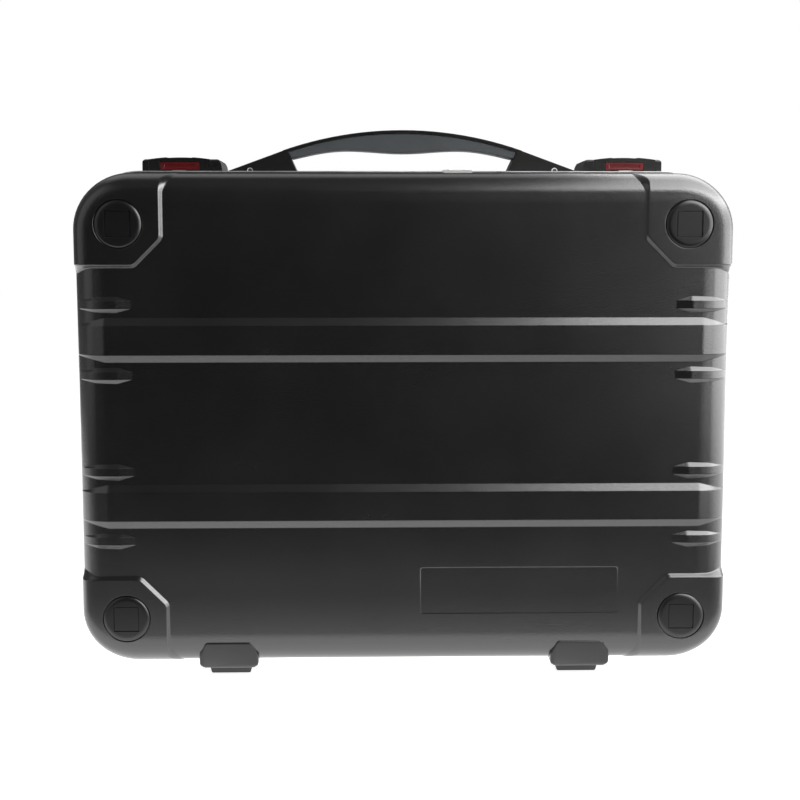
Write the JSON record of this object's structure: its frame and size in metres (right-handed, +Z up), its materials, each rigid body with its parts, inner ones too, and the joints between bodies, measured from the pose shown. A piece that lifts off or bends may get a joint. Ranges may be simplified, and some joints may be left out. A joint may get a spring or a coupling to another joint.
{
  "type": "transport case",
  "caption": "Upright hard transport case: two moulded half shells on aluminium rims, hinged at the foot, with draw latches and a fold-back carrying handle.",
  "frame": {"origin": "centre of the bounding box on the plane that the feet stand on", "axes": "+X along the case's width, to the right as seen from the lid; +Y from the lid to the base; +Z up to the handle"},
  "size_m": [0.471, 0.1514, 0.3983],
  "materials": {
    "shell": "moulded, fine grain, soft sheen",
    "rim": "satin anodised extrusion",
    "seal": "matt",
    "pad": "matt, moulded, bare square recess",
    "foot": "matt",
    "hardware": "moulded, fine grain",
    "steel": "zinc plated, dull",
    "button": "moulded, soft gloss",
    "grip": "soft matt moulding"
  },
  "bodies": {
    "base": {"base_shell": "shell", "base_rim": "rim", "base_rim_clip": "rim", "base_pads": "pad", "base_feet": "foot", "hinge_base_leaves": "steel", "hinge_pins": "steel", "hinge_base_rivets": "steel", "latch_plate_left": "hardware", "latch_plate_right": "hardware", "latch_pins": "steel", "latch_screws": "steel", "handle_brackets": "hardware", "handle_screws": "steel", "handle_pins": "steel"},
    "lid": {"lid_shell": "shell", "lid_rim": "rim", "rim_seal": "seal", "lid_rim_clip": "rim", "lid_pads": "pad", "lid_feet": "foot", "hinge_lid_leaves": "steel", "hinge_lid_rivets": "steel", "strikes": "steel", "strike_rivets": "steel"},
    "handle": {"handle_frame": "hardware", "handle_grip": "grip", "handle_rivets": "steel"},
    "lever_left": {"latch_lever_left": "hardware", "latch_claw_left": "steel"},
    "lever_right": {"latch_lever_right": "hardware", "latch_claw_right": "steel"},
    "button_left": {"latch_button_left": "button"},
    "button_right": {"latch_button_right": "button"}
  },
  "joints": [
    {"name": "lid_hinge", "type": "hinge", "parent": "base", "child": "lid", "pos_m": [0, -0.015, 0.0051], "axis": [1, 0, 0], "range_deg": [0, 100]},
    {"name": "handle_pivot", "type": "hinge", "parent": "base", "child": "handle", "pos_m": [0, 0.0185, 0.3713], "axis": [-1, 0, 0], "range_deg": [0, 90]},
    {"name": "lever_left_pivot", "type": "hinge", "parent": "base", "child": "lever_left", "pos_m": [-0.164, 0.026, 0.3713], "axis": [-1, 0, 0], "range_deg": [0, 75]},
    {"name": "lever_right_pivot", "type": "hinge", "parent": "base", "child": "lever_right", "pos_m": [0.164, 0.026, 0.3713], "axis": [-1, 0, 0], "range_deg": [0, 75]},
    {"name": "button_left_press", "type": "slide", "parent": "lever_left", "child": "button_left", "axis": [0, 1, 0], "range_m": [0, 0.003], "stiffness_N_per_m": 400},
    {"name": "button_right_press", "type": "slide", "parent": "lever_right", "child": "button_right", "axis": [0, 1, 0], "range_m": [0, 0.003], "stiffness_N_per_m": 400}
  ]
}
